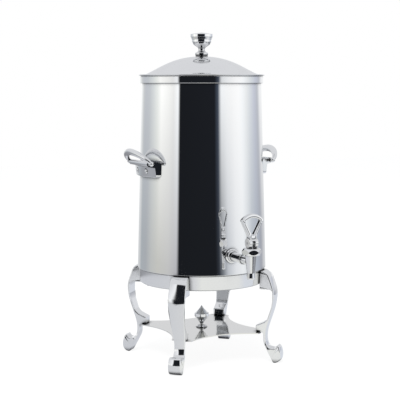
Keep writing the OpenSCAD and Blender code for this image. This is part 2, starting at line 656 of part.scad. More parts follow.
module tap_shank() from_axis() color(chrome) along_tap() difference() {
    union() {
        translate([0, 0, shank_start]) cylinder(r = shank_r, h = shank_end - shank_start, $fn = 64);
        translate([0, 0, wall_r + flange_t]) rotate_extrude($fn = 64) polygon(rounded([
            [0, 0, 0], [shank_r + 2.5, 0, 0.8], [shank_r + 2.5, nut_t, 0.8], [0, nut_t, 0]]));
    }
    translate([0, 0, shank_start - 1]) cylinder(r = way_r, h = shank_end - shank_start + 2, $fn = 48);
}

module shank_nut() from_axis() color(steel) along_tap() translate([0, 0, gasket_face - 6]) difference() {
    cylinder(r = 13, h = 6, $fn = 6);
    translate([0, 0, -1]) cylinder(r = shank_r + run_gap, h = 8, $fn = 64);
}

coupling_r = shank_r + 1.8;
module coupling_nut() from_axis() color(chrome)
    along_tap() translate([0, 0, shank_end - 3.5]) difference() {
        rotate_extrude($fn = 64)
            polygon(rounded([[0, 0, 0], [coupling_r, 0, 0.6], [coupling_r, 7, 0.6], [0, 7, 0]]));
        translate([0, 0, -1]) cylinder(r = shank_r + run_gap, h = 9, $fn = 64);
    }

// Heights along the tap's upright axis
barrel_top = tap_z + 12;
bonnet_top = barrel_top + bonnet_h;
hub_z = bonnet_top + seat_gap + cam_r;
seat_z = tap_z - 6;
barrel_r = 7.2;
chamber_r = 5.8;
stem_r = 2.5;
spout_top = [0, -(tap_y - 7.3), tap_z + 8.5];

module on_spout_axis() translate(spout_top) rotate([-spout_tilt, 0, 0]) children();
module tap_body() from_axis() color(chrome) difference() {
    union() {
        along_tap() translate([0, 0, shank_end]) cylinder(r = shank_r, h = tap_y - 7 - shank_end, $fn = 64);
        at_tap() translate([0, 0, tap_z - 9]) rotate_extrude($fn = 72)
            polygon(rounded([[0, 0, 0], [barrel_r, 0, 3], [barrel_r, barrel_top - tap_z + 9, 0],
                [0, barrel_top - tap_z + 9, 0]]));
        intersection() {
            on_spout_axis() rotate([180, 0, 0]) rotate_extrude($fn = 72) polygon(rounded([[0, -8, 0],
                [spout_top_r + 0.4, -8, 0], [spout_tip_r, spout_l, 1.8], [0, spout_l, 0]]));
            translate([-foot_r, -foot_r * 2, 0]) cube([foot_r * 2, foot_r * 2, barrel_top]);
        }
    }
    along_tap() translate([0, 0, shank_end - 1]) cylinder(r = way_r, h = tap_y - shank_end + 1, $fn = 48);
    at_tap() translate([0, 0, seat_z]) cylinder(r = chamber_r, h = barrel_top - seat_z + 1, $fn = 64);
    at_tap() translate([0, 0, seat_z - 6]) cylinder(r = 3, h = 7, $fn = 40);
    on_spout_axis() rotate([180, 0, 0]) translate([0, 0, 16])
        cylinder(r = way_r - 0.3, h = spout_l, $fn = 48);
}

module tap_bonnet() from_axis() color(chrome) at_tap() difference() {
    flat = bonnet_af / 2;
    outer = bonnet_corner + 0.01;
    translate([0, 0, barrel_top]) intersection() {
        rotate([0, 0, bonnet_turn]) cylinder(r = bonnet_corner, h = bonnet_h, $fn = 6);
        rotate_extrude($fn = 72) polygon([[0, 0], [flat - 1.4, 0], [flat, 1.9], [outer, bonnet_h / 2 - 0.6],
            [outer, bonnet_h / 2 + 0.6], [flat, bonnet_h - 1.9], [flat - 1.4, bonnet_h], [0, bonnet_h]]);
    }
    translate([0, 0, barrel_top - 1]) cylinder(r = chamber_r, h = bonnet_h - 3.5 + 1, $fn = 64);
    translate([0, 0, barrel_top]) cylinder(r = stem_r + run_gap, h = bonnet_h + 1, $fn = 40);
}

stem_collar_z = barrel_top - 3;
stem_collar_t = 2;
stem_eye_r = 4.4;
module tap_stem() from_axis() color(steel) at_tap() difference() {
    union() {
        translate([0, 0, seat_z + 2.5])
            cylinder(r = stem_r, h = hub_z - seat_z - 2.5 - stem_eye_r - 1, $fn = 40);
        translate([0, 0, stem_collar_z]) cylinder(r = chamber_r - 0.4, h = stem_collar_t, $fn = 48);
        intersection() {
            translate([0, 0, hub_z]) rotate([0, 90, 0]) union() {
                cylinder(r = stem_eye_r, h = slot_w, center = true, $fn = 48);
                translate([0, -stem_r + 0.2, -slot_w / 2])
                    cube([stem_eye_r + 3, stem_r * 2 - 0.4, slot_w]);
            }
            cube([slot_w - 0.6, 40, 2 * (hub_z + 20)], center = true);
        }
    }
    translate([0, 0, hub_z]) rotate([0, 90, 0])
        cylinder(r = lever_pin_r + run_gap, h = 40, center = true, $fn = 40);
}

module seat_cup() from_axis() color(rubber) at_tap() translate([0, 0, seat_z + seat_gap]) difference() {
    rotate_extrude($fn = 48) polygon(rounded([[0, 0, 0], [chamber_r - 1, 0, 1],
        [chamber_r - 0.5, 3, 0.5], [chamber_r - 1.3, 6.5, 1], [0, 6.5, 0]]));
    translate([0, 0, 2.2 - seat_gap]) cylinder(r = stem_r + run_gap, h = 10, $fn = 40);
}

// The spring is one wire: full curls between a closed curl at each end
spring_wire = 0.6;
spring_r = 4.7;
spring_curls = 4;
spring_steps = 12;
spring_foot = stem_collar_z + stem_collar_t + spring_wire + 0.1;
spring_top = barrel_top + bonnet_h - 3.5 - spring_wire - 0.1;
spring_rings = spring_curls * spring_steps;
function spring_at(i) = let (a = i * 360 / spring_steps)
    [spring_r * cos(a), spring_r * sin(a), spring_foot + (spring_top - spring_foot) * i / spring_rings];
echo(least_spring_gap = min([for (i = [0:spring_rings], j = [i + spring_steps / 2:spring_rings])
    norm(spring_at(j) - spring_at(i))]) - 2 * spring_wire);
module return_spring() from_axis() color(steel) at_tap() {
    sides = 6;
    points = [for (i = [0:spring_rings], k = [0:sides - 1])
        let (p = spring_at(i), g = 360 * k / sides, out = spring_wire * cos(g) / spring_r)
        [p[0] * (1 + out), p[1] * (1 + out), p[2] + spring_wire * sin(g)]];
    polyhedron(points, concat([[for (k = [0:sides - 1]) k]],
        [[for (k = [sides - 1:-1:0]) spring_rings * sides + k]],
        [for (i = [0:spring_rings - 1], k = [0:sides - 1]) let (k2 = (k + 1) % sides)
            [i * sides + k, (i + 1) * sides + k, (i + 1) * sides + k2, i * sides + k2]]), convexity = 10);
}

module stem_ring() from_axis() color(rubber) at_tap() translate([0, 0, bonnet_top - 3.5 - 1.9])
    rotate_extrude($fn = 48) translate([stem_r + 0.7, 0]) circle(r = 0.6, $fn = 24);

module lever_pin() from_axis() color(steel) at_tap() translate([0, 0, hub_z]) rotate([0, 90, 0])
    cylinder(r = lever_pin_r, h = hub_w + 0.6, center = true, $fn = 40);

// The hub's cam: from the flat at rest, its reach grows with the lever's angle to lift the stem,
// then runs back to the hub's own radius. Angles run from straight down towards the front.
cam_slope = stem_lift / (lever_open * PI / 180);
cam_nose_r = 4;
function cam_normal(a) = [-sin(a), -cos(a)];
function cam_side(a) = [-cos(a), sin(a)];
cam_nose = cam_normal(lever_open) * (cam_r + stem_lift - cam_nose_r) + cam_side(lever_open) * cam_slope;
function cam_reach(a) = a <= 0 ? cam_r : a <= lever_open ? cam_r + cam_slope * a * PI / 180
    : max(cam_r, cam_nose * cam_normal(a) + cam_nose_r);
function cam_rate(a) = (cam_reach(a + 0.01) - cam_reach(a)) / (0.01 * PI / 180);
function cam_point(a) = cam_normal(a) * cam_reach(a) + cam_side(a) * cam_rate(a);
module lever_hub() rotate([90, 0, 90]) linear_extrude(hub_w, center = true)
    polygon([for (a = [360:-5:0]) cam_point(a)]);

fan_z = 12;
module lever_fan() rotate([90, 0, 0]) linear_extrude(lever_d, center = true) {
    arch_r = 26;
    arch_z = lever_h - arch_r;
    corner = acos(lever_half_w / arch_r);
    in_arch = lever_h - 8.2;
    shoulder = lever_h - 11.5;
    foot_w = 7.6;
    difference() {
        polygon(concat([[-foot_w, 4], [foot_w, 4], [foot_w, fan_z], [lever_half_w, shoulder - 1.5]],
            arc(0, arch_z, arch_r, corner + 4, 176 - corner, 14),
            [[-lever_half_w, shoulder - 1.5], [-foot_w, fan_z]]));
        inner_foot = fan_z + 3.5;
        polygon(rounded([[-2.6, inner_foot, 1.2], [2.6, inner_foot, 1.2],
            [lever_half_w - lever_bar - 0.4, shoulder - 1.5, 1.2], [0, in_arch + 2.4, 24],
            [-lever_half_w + lever_bar + 0.4, shoulder - 1.5, 1.2]], 12));
    }
}

// The slot in the hub clears the stem's eye, and the stem from one end of the turn to the other
module lever_slot() rotate([90, 0, 90]) linear_extrude(slot_w, center = true) {
    side = stem_r + 0.3;
    far = 20;
    slot_top = 4.6;
    circle(r = stem_eye_r + 0.8, $fn = 48);
    polygon([[side, 0], [side, -far], [-far, -far], [-far, slot_top], [0, slot_top]]);
}

module tap_lever() from_axis() color(chrome) at_tap() translate([0, 0, hub_z]) difference() {
    union() {
        lever_hub();
        lever_fan();
    }
    rotate([0, 90, 0]) cylinder(r = lever_pin_r + run_gap, h = hub_w + 2, center = true, $fn = 40);
    lever_slot();
}

lid_shell();
lid_pan();
lid_knob();
knob_screw();
knob_washer();
rim_collar();
inner_liner();
insulation_jacket();
insulation_pad();
outer_drum();
base_band();
base_plate();
base_screws();
leg_front_left();
leg_front_right();
leg_back_left();
leg_back_right();
leg_screws();
cross_plate();
plate_screws();
finial();
finial_nut();
bracket_left();
bracket_right();
bracket_screws();
bracket_nuts();
hinge_pin_left();
hinge_pin_right();
bail_left();
bail_right();
tap_flange();
outer_gasket();
inner_gasket();
tap_shank();
shank_nut();
coupling_nut();
tap_body();
tap_bonnet();
tap_stem();
seat_cup();
return_spring();
stem_ring();
lever_pin();
tap_lever();
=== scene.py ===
import bpy
import json
import math
from mathutils import Matrix, Vector


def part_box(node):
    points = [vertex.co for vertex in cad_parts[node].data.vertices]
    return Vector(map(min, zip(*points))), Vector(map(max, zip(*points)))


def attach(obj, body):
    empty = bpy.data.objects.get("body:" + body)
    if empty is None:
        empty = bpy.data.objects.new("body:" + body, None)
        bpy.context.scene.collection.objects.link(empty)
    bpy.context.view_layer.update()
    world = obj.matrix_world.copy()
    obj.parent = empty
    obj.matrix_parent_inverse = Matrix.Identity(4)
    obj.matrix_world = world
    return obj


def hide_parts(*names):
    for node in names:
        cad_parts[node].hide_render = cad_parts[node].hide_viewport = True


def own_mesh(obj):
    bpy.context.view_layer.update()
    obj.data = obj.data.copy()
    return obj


# The coffee urn's looks: outlines are in mm, Blender's own places in m.

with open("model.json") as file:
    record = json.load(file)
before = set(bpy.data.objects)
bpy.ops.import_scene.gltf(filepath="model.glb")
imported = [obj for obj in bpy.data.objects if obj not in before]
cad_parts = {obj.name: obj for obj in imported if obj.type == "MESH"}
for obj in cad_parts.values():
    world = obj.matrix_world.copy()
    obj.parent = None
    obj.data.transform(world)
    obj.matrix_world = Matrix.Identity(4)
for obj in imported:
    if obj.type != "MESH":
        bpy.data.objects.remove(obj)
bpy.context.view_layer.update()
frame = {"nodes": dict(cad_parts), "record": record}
nodes = frame["nodes"]
MM = 0.001

# ---- Places that the CAD gives, in mm ----
drum_lo, drum_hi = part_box("outer_drum")
AXIS_Y = (drum_lo.y + drum_hi.y) / 2 / MM
FOOT_R = (drum_hi.x - drum_lo.x) / 2 / MM
DRUM_Z = drum_lo.z / MM

# ---- Camera, fitted to the photograph's perspective ----
CAM_OFF = Vector((-0.9760, -1.9279, 0.5481))  # from the foot of the drum's axis, in m
CAM_TURN = math.radians(-26.764)
CAM_DOWN = math.radians(6.045)
CAM_LENS = 97.24
CAM_SENSOR = 36

scene = bpy.context.scene
cam_data = bpy.data.cameras.new("camera")
cam_data.sensor_width = CAM_SENSOR
cam_data.lens = CAM_LENS
cam = bpy.data.objects.new("camera", cam_data)
scene.collection.objects.link(cam)
cam.location = CAM_OFF + Vector((0, AXIS_Y * MM, 0))
cam.rotation_euler = (math.pi / 2 - CAM_DOWN, 0, CAM_TURN)
scene.camera = cam
scene.view_settings.view_transform = "Standard"


# ---- Node helpers ----
def link(tree, a, b):
    tree.links.new(a, b)


def add(tree, kind, **values):
    node = tree.nodes.new(kind)
    for key, value in values.items():
        setattr(node, key, value)
    return node


def math_node(tree, operation, a, b=None):
    node = add(tree, "ShaderNodeMath", operation=operation)
    for socket, value in zip(node.inputs, (a, b)):
        if value is None:
            continue
        if isinstance(value, (int, float)):
            socket.default_value = value
        else:
            link(tree, value, socket)
    return node.outputs[0]


def map_range(tree, value, lo, hi, to_lo=0.0, to_hi=1.0, smooth=False):
    node = add(tree, "ShaderNodeMapRange")
    node.interpolation_type = "SMOOTHSTEP" if smooth else "LINEAR"
    link(tree, value, node.inputs[0])
    for i, v in enumerate((lo, hi, to_lo, to_hi)):
        node.inputs[i + 1].default_value = v
    return node.outputs[0]


def mix_colour(tree, factor, a, b):
    """Colour a at factor 0 and b at factor 1. Each is a socket or a linear colour."""
    node = add(tree, "ShaderNodeMix", data_type="RGBA")
    link(tree, factor, node.inputs[0])
    for socket, value in zip((node.inputs[6], node.inputs[7]), (a, b)):
        if isinstance(value, tuple):
            socket.default_value = (*value, 1)
        else:
            link(tree, value, socket)
    return node.outputs[2]


def dot_product(tree, socket, v):
    node = add(tree, "ShaderNodeVectorMath", operation="DOT_PRODUCT")
    link(tree, socket, node.inputs[0])
    node.inputs[1].default_value = v
    return node.outputs["Value"]


def linear(*srgb):
    return tuple(c / 255 / 12.92 if c < 10.3 else ((c / 255 + 0.055) / 1.055) ** 2.4 for c in srgb)


# ---- Studio: a white tent with a dark opening on the camera's side ----
# Its bands, from under the table's height to the ceiling, list colours round the urn: degrees to the camera's
# right, and the sRGB colour that the polished steel shows there.
REFLECT = 0.86  # share of the light that the polished steel sends back
BLACK = (25, 27, 31)
DEEP = [(-180, (126, 127, 132)), (-100, (160, 162, 167)), (-60, (150, 151, 156)), (-50, BLACK), (50, BLACK),
        (56, (120, 122, 127)), (90, (150, 152, 157)), (180, (96, 97, 102))]
LOW = [(-180, (214, 216, 218)), (-150, (196, 198, 200)), (-140, (165, 171, 176)), (-120, (166, 170, 175)),
       (-103, (186, 188, 187)), (-85, (194, 194, 189)), (-63, (192, 192, 191)), (-46, (178, 178, 182)),
       (-41, BLACK), (26, (26, 28, 32)), (32, (48, 52, 60)), (39, (112, 117, 124)), (48, (186, 190, 196)),
       (64, (222, 224, 227)), (80, (233, 235, 237)), (92, (212, 216, 220)), (104, (182, 188, 196)),
       (122, (170, 176, 186)), (136, (160, 163, 172)), (150, (196, 197, 200)), (180, (214, 216, 218))]
HIGH = [(-180, (246, 247, 247)), (-158, (238, 240, 240)), (-146, (205, 207, 208)), (-132, (195, 198, 204)),
        (-116, (199, 203, 207)), (-103, (217, 221, 222)), (-92, (237, 240, 237)), (-82, (262, 262, 260)),
        (-72, (254, 254, 252)), (-63, (246, 246, 244)), (-54, (236, 236, 235)), (-45, (251, 253, 255)),
        (-41, BLACK), (24, (28, 30, 35)), (31, (70, 78, 92)), (37, (242, 244, 246)), (56, (247, 247, 247)),
        (74, (253, 253, 253)), (84, (246, 248, 250)), (94, (234, 236, 237)), (106, (218, 222, 227)),
        (119, (199, 202, 215)), (132, (190, 193, 200)), (145, (246, 246, 247)), (180, (246, 247, 247))]
TOP = [(-180, (208, 209, 212)), (-70, (211, 212, 215)), (-50, (232, 233, 236)), (-43, (240, 241, 243)),
       (-39, BLACK), (24, BLACK), (31, (235, 237, 240)), (50, (228, 230, 233)), (70, (211, 212, 215)),
       (180, (208, 209, 212))]
CEILING = (211, 212, 215)
# Each band blends into the next over these heights, in degrees
DEEP_TO_LOW, LOW_TO_HIGH, HIGH_TO_TOP, TOP_TO_CEILING = (-11, -9), (-7, 3), (5, 11), (27, 34)
BACKDROP = (1.0, 1.0, 1.0)  # what the camera itself sees behind the urn

to_cam = Vector((CAM_OFF.x, CAM_OFF.y, 0)).normalized()
to_right = Vector((-to_cam.y, to_cam.x, 0))


def azimuth_of(tree, socket):
    """The azimuth of a direction or place: 0 and 1 are behind the urn, 0.5 is at the camera."""
    turn = math_node(tree, "ARCTAN2", dot_product(tree, socket, to_right), dot_product(tree, socket, to_cam))
    return map_range(tree, turn, -math.pi, math.pi)


def round_ramp(tree, azimuth, stops):
    """A ramp over the azimuth, from stops (degrees to the camera's right, linear colour)."""
    node = add(tree, "ShaderNodeValToRGB")
    ramp = node.color_ramp
    while len(ramp.elements) > 1:
        ramp.elements.remove(ramp.elements[-1])
    for i, (degrees, colour) in enumerate(stops):
        place = (degrees + 180) / 360
        element = ramp.elements.new(place) if i else ramp.elements[0]
        element.position = place
        element.color = (*colour, 1)
    link(tree, azimuth, node.inputs[0])
    return node.outputs[0]


def lit(colour):
    """The linear light that the polished steel shows as this sRGB colour."""
    return tuple(c / REFLECT for c in linear(*colour))


def tent_ramp(tree, azimuth, stops):
    """A ramp over the azimuth, whose colours are given as the polished steel shows them."""
    return round_ramp(tree, azimuth, [(degrees, lit(colour)) for degrees, colour in stops])


def make_studio():
    world = bpy.data.worlds.new("studio")
    scene.world = world
    world.use_nodes = True
    t = world.node_tree
    t.nodes.clear()
    direction = add(t, "ShaderNodeTexCoord").outputs["Generated"]
    azimuth = azimuth_of(t, direction)
    elevation = math_node(t, "ARCSINE", dot_product(t, direction, (0, 0, 1)))

    def by_height(below, above, heights, smooth=True):
        lo, hi = (math.radians(a) for a in heights)
        return mix_colour(t, map_range(t, elevation, lo, hi, smooth=smooth), below, above)

    studio = by_height(tent_ramp(t, azimuth, LOW), tent_ramp(t, azimuth, HIGH), LOW_TO_HIGH, smooth=False)
    studio = by_height(tent_ramp(t, azimuth, DEEP), studio, DEEP_TO_LOW)
    studio = by_height(studio, tent_ramp(t, azimuth, TOP), HIGH_TO_TOP)
    studio = by_height(studio, lit(CEILING), TOP_TO_CEILING)
    is_camera = add(t, "ShaderNodeLightPath").outputs["Is Camera Ray"]
    background = add(t, "ShaderNodeBackground")
    background.inputs["Strength"].default_value = 1
    link(t, mix_colour(t, is_camera, studio, BACKDROP), background.inputs["Color"])
    link(t, background.outputs[0], add(t, "ShaderNodeOutputWorld").inputs[0])


# ---- Floor: to the eye a white plane, in the steel's reflections a table of limited size ----
FLOOR_HALF = 5.0
FLOOR_GREY = 0.92
GLOW, GLOW_SHARE = 1.05, 0.85  # the glow whitens what the camera sees, and the rest holds the shadow
TABLE = [(-180, (196, 198, 203)), (-120, (196, 198, 204)), (-60, (201, 203, 207)), (-12, (208, 209, 211)),
         (0, (225, 226, 223)), (66, (222, 223, 222)), (80, (211, 215, 222)), (180, (204, 207, 214))]
# The table's edge: degrees to the camera's right, and m from the drum's axis
TABLE_EDGE = [(-180, 0.9), (-60, 0.9), (-50, 1.4), (-30, 1.5), (-24, 1.3), (-14, 1.22), (32, 1.22),
              (38, 0.93), (180, 0.9)]
TABLE_FAR = 3.0
TABLE_SOFT = 0.006  # half the width of the edge's blur, as a share of TABLE_FAR


def make_floor():
    h = FLOOR_HALF
    mesh = bpy.data.meshes.new("floor")
    mesh.from_pydata([(-h, -h, 0), (h, -h, 0), (h, h, 0), (-h, h, 0)], [], [(0, 1, 2, 3)])
    floor = bpy.data.objects.new("floor", mesh)
    scene.collection.objects.link(floor)
    mat = bpy.data.materials.new("floor_white")
    mat.use_nodes = True
    t = mat.node_tree
    t.nodes.clear()

    def mixed(factor, a, b):
        node = add(t, "ShaderNodeMixShader")
        for socket, value in zip(node.inputs, (factor, a, b)):
            link(t, value, socket)
        return node.outputs[0]

    diffuse = add(t, "ShaderNodeBsdfDiffuse")
    diffuse.inputs["Color"].default_value = (FLOOR_GREY, FLOOR_GREY, FLOOR_GREY, 1)
    glow = add(t, "ShaderNodeEmission")
    glow.inputs["Strength"].default_value = GLOW
    ray_kind = add(t, "ShaderNodeLightPath").outputs
    bright = math_node(t, "MULTIPLY", ray_kind["Is Camera Ray"], GLOW_SHARE)
    plain = mixed(bright, diffuse.outputs[0], glow.outputs[0])

    from_axis = add(t, "ShaderNodeVectorMath", operation="SUBTRACT")
    link(t, add(t, "ShaderNodeNewGeometry").outputs["Position"], from_axis.inputs[0])
    from_axis.inputs[1].default_value = (0, AXIS_Y * MM, 0)
    azimuth = azimuth_of(t, from_axis.outputs[0])
    table = add(t, "ShaderNodeEmission")
    link(t, tent_ramp(t, azimuth, TABLE), table.inputs["Color"])
    distance = add(t, "ShaderNodeVectorMath", operation="LENGTH")
    link(t, from_axis.outputs[0], distance.inputs[0])
    edge = round_ramp(t, azimuth, [(degrees, (r / TABLE_FAR,) * 3) for degrees, r in TABLE_EDGE])
    share = math_node(t, "DIVIDE", distance.outputs["Value"], TABLE_FAR)
    beyond = map_range(t, math_node(t, "SUBTRACT", share, edge), -TABLE_SOFT, TABLE_SOFT)
    clear = add(t, "ShaderNodeBsdfTransparent").outputs[0]
    mirrored = mixed(beyond, table.outputs[0], clear)
    surface = mixed(ray_kind["Is Glossy Ray"], plain, mirrored)
    link(t, surface, add(t, "ShaderNodeOutputMaterial").inputs[0])
    mesh.materials.append(mat)


make_studio()
make_floor()

# ---- Key lamp, from the upper left ----
KEY_PLACE, KEY_SIZE, KEY_POWER = (-0.9, -1.0, 2.6), 1.6, 60
KEY_AIM = Vector((0, AXIS_Y * MM, 0.2))
lamp_data = bpy.data.lights.new("key", "AREA")
lamp_data.shape = "DISK"
lamp_data.size = KEY_SIZE
lamp_data.energy = KEY_POWER
lamp = bpy.data.objects.new("key", lamp_data)
lamp.location = KEY_PLACE
lamp.rotation_euler = (KEY_AIM - lamp.location).to_track_quat("-Z", "Y").to_euler()
lamp.visible_glossy = False
scene.collection.objects.link(lamp)

# ---- Materials ----
# Painted shade: the colour that metal darkens towards in corners and gaps, found by ambient occlusion
PAINTED_SHADE = (0.03, 0.03, 0.035)
FULL_SHADE_BELOW, NO_SHADE_ABOVE = 0.45, 0.92  # how open a point is, by ambient occlusion: full painted shade below the first, none above the second
SHADE_SAMPLES = 12
MARK_LO, MARK_HI, MARK_DETAIL = 0.3, 0.75, 4
WAVE_SCALE, WAVE_DETAIL, WAVE_DEPTH = 14, 1, 0.0004
GRAIN_DETAIL, GRAIN_DEPTH, GRAIN_DARK = 6, 0.0005, 0.75
POLISH = (0.86, 0.865, 0.87)


def principled(name):
    mat = bpy.data.materials.new(name)
    mat.use_nodes = True
    return mat, mat.node_tree, mat.node_tree.nodes["Principled BSDF"]


def noise(tree, scale, detail, place):
    node = add(tree, "ShaderNodeTexNoise")
    node.inputs["Scale"].default_value = scale
    node.inputs["Detail"].default_value = detail
    link(tree, place, node.inputs["Vector"])
    return node.outputs["Fac"]


def add_bump(tree, bsdf, height, strength, depth):
    node = add(tree, "ShaderNodeBump")
    node.inputs["Strength"].default_value = strength
    node.inputs["Distance"].default_value = depth
    link(tree, height, node.inputs["Height"])
    link(tree, node.outputs[0], bsdf.inputs["Normal"])


def metal(name, rough, rough_swing, bump, scale, colour=POLISH, stretch=(1, 1, 1), shade_reach=0.012):
    """Steel whose roughness varies with wiping marks, and whose surface has slight waves.

    Its colour has painted shade in corners and gaps: it darkens where ambient occlusion finds other surfaces
    within the distance that the last argument gives, in m; 0 paints none."""
    mat, t, bsdf = principled(name)
    bsdf.inputs["Base Color"].default_value = (*colour, 1)
    bsdf.inputs["Metallic"].default_value = 1
    # Painted shade: ambient occlusion darkens the base colour in corners and gaps
    if shade_reach:
        occlusion = add(t, "ShaderNodeAmbientOcclusion", samples=SHADE_SAMPLES)
        occlusion.inputs["Distance"].default_value = shade_reach
        unshaded = map_range(t, occlusion.outputs["AO"], FULL_SHADE_BELOW, NO_SHADE_ABOVE)
        link(t, mix_colour(t, unshaded, PAINTED_SHADE, colour), bsdf.inputs["Base Color"])
    place = add(t, "ShaderNodeTexCoord").outputs["Object"]
    mapping = add(t, "ShaderNodeMapping")
    mapping.inputs["Scale"].default_value = stretch
    link(t, place, mapping.inputs["Vector"])
    marks = noise(t, scale, MARK_DETAIL, mapping.outputs[0])
    link(t, map_range(t, marks, MARK_LO, MARK_HI, rough, rough + rough_swing), bsdf.inputs["Roughness"])
    add_bump(t, bsdf, noise(t, WAVE_SCALE, WAVE_DETAIL, place), bump, WAVE_DEPTH)
    return mat


def soft_matter(name, colour, rough, scale, bump):
    """Rubber or mineral wool: mottled, with a fine grain."""
    mat, t, bsdf = principled(name)
    bsdf.inputs["Roughness"].default_value = rough
    grain = noise(t, scale, GRAIN_DETAIL, add(t, "ShaderNodeTexCoord").outputs["Object"])
    dark = tuple(c * GRAIN_DARK for c in colour)
    link(t, mix_colour(t, grain, dark, colour), bsdf.inputs["Base Color"])
    add_bump(t, bsdf, grain, bump, GRAIN_DEPTH)
    return mat


# Painted shade in corners and gaps reaches 0.012 m for each finish, unless its entry gives another reach in
# m; a reach of 0 paints none
METALS = {
    "drum_polish": dict(rough=0.02, rough_swing=0.03, bump=0.02, scale=60, stretch=(1, 1, 0.12)),
    "rim_polish": dict(rough=0.03, rough_swing=0.03, bump=0.02, scale=80, stretch=(1, 1, 0.3)),
    "lid_polish": dict(rough=0.05, rough_swing=0.05, bump=0.02, scale=90),
    "band_polish": dict(rough=0.05, rough_swing=0.04, bump=0.03, scale=80, stretch=(1, 1, 0.3)),
    "knob_polish": dict(rough=0.04, rough_swing=0.04, bump=0.03, scale=160),
    "leg_polish": dict(rough=0.06, rough_swing=0.05, bump=0.12, scale=120),
    "plate_polish": dict(rough=0.04, rough_swing=0.04, bump=0.03, scale=90, colour=(0.85, 0.845, 0.82)),
    "bracket_polish": dict(rough=0.06, rough_swing=0.05, bump=0.08, scale=140, shade_reach=0.003),
    "handle_polish": dict(rough=0.05, rough_swing=0.05, bump=0.06, scale=140),
    "tap_polish": dict(rough=0.04, rough_swing=0.05, bump=0.04, scale=180, shade_reach=0.004),
    "screw_polish": dict(rough=0.05, rough_swing=0.05, bump=0.04, scale=300),
    "vessel_steel": dict(rough=0.22, rough_swing=0.12, bump=0.05, scale=200, colour=(0.68, 0.69, 0.70),
                         stretch=(1, 1, 0.1), shade_reach=0),
    "plain_steel": dict(rough=0.28, rough_swing=0.12, bump=0.08, scale=160, colour=(0.60, 0.61, 0.62),
                        shade_reach=0),
    "fastener_steel": dict(rough=0.25, rough_swing=0.12, bump=0.06, scale=400, colour=(0.58, 0.58, 0.60),
                           shade_reach=0),
    "spring_steel": dict(rough=0.25, rough_swing=0.1, bump=0.05, scale=500, colour=(0.55, 0.55, 0.56),
                         shade_reach=0),
}
SOFT = {
    "insulation": dict(colour=(0.80, 0.76, 0.60), rough=0.95, scale=220, bump=0.8),
    "seal_rubber": dict(colour=(0.06, 0.06, 0.065), rough=0.6, scale=300, bump=0.3),
}
looks = {name: metal(name, **values) for name, values in METALS.items()}
looks |= {name: soft_matter(name, **values) for name, values in SOFT.items()}

for part in frame["record"]["subparts"]:
    mesh = nodes[part["node"]].data
    mesh.materials.clear()
    mesh.materials.append(looks[part["material_slot"]])


# ---- Mesh helpers: outlines and vertices are in mm, until piece() turns them to m ----
ROUND_STEPS = (0.4, 0.8, 1.2, math.pi / 2)  # angles of the points round an edge, in radians
LARGE_SEG, KNOB_SEG, SMALL_SEG, KNUCKLE_SEG = 288, 128, 96, 48
SHARP = 35  # degrees from which an edge shows as sharp


def ray(degrees):
    """The unit vector at an angle."""
    a = math.radians(degrees)
    return Vector((math.cos(a), math.sin(a)))


def rounded(corners, step=6):
    """A closed outline from corners (x, y, radius), with a point on each arc every step degrees."""
    out = []
    n = len(corners)
    for i, (x, y, radius) in enumerate(corners):
        p = Vector((x, y))
        if radius == 0:
            out.append(p)
            continue
        a, b = Vector(corners[i - 1][:2]), Vector(corners[(i + 1) % n][:2])
        u, v = (a - p).normalized(), (b - p).normalized()
        turn = math.pi - math.acos(max(-1, min(1, u.dot(v))))
        way = 1 if v.x * u.y - v.y * u.x > 0 else -1
        centre = p + (u + v).normalized() * radius / math.cos(turn / 2)
        start = p + u * radius * math.tan(turn / 2) - centre
        count = max(1, math.ceil(math.degrees(turn) / step))
        out += [centre + Matrix.Rotation(way * turn * j / count, 2) @ start for j in range(count + 1)]
    return out


def held(line, near=0.35, long_edge=1.75):
    """The closed outline with a point near each end of its long edges: flat runs stay flat in the shading."""
    out = []
    for p, q in zip(line, line[1:] + line[:1]):
        out.append(p)
        d = (q - p).length
        if d > long_edge:
            out += [p.lerp(q, near / d), p.lerp(q, 1 - near / d)]
    return out


def divided(line, limit):
    """The closed outline with its edges cut into equal parts no longer than limit."""
    out = []
    for p, q in zip(line, line[1:] + line[:1]):
        count = math.ceil((q - p).length / limit)
        out += [p.lerp(q, j / count) for j in range(count)]
    return out


def skin(rings, sides, closed=False, flip=False, first=0):
    """Quads between neighbouring rings, each of as many vertices as sides, numbered from first."""
    faces = []
    for j in range(rings if closed else rings - 1):
        a, b = first + j * sides, first + (j + 1) % rings * sides
        for i in range(sides):
            k = (i + 1) % sides
            faces.append([a + i, b + i, b + k, a + k] if flip else [a + i, a + k, b + k, b + i])
    return faces


def lathe_mesh(line, seg):
    """Vertices and faces of a closed outline (r, z) turned about Z. Points on the axis become one vertex."""
    verts, faces, rows = [], [], []
    for r, z in line:
        if r < 1e-6:
            rows.append([len(verts)] * seg)
            verts.append((0, 0, z))
        else:
            rows.append(list(range(len(verts), len(verts) + seg)))
            turns = [2 * math.pi * k / seg for k in range(seg)]
            verts += [(r * math.cos(a), r * math.sin(a), z) for a in turns]
    for a, b in zip(rows, rows[1:] + rows[:1]):
        if a[0] == a[1] and b[0] == b[1]:
            continue
        for k in range(seg):
            k2 = (k + 1) % seg
            ring = [a[k], a[k2], b[k2], b[k]]
            face = [v for j, v in enumerate(ring) if v != ring[j - 1]]
            if len(face) > 2:
                faces.append(face)
    return verts, faces


def placed(verts, matrix):
    """The vertices, moved by a matrix."""
    return [matrix @ Vector(v) for v in verts]


def join(verts, faces, more_verts, more_faces):
    """Adds a second mesh to the lists of the first."""
    start = len(verts)
    verts += more_verts
    faces += [[start + v for v in f] for f in more_faces]


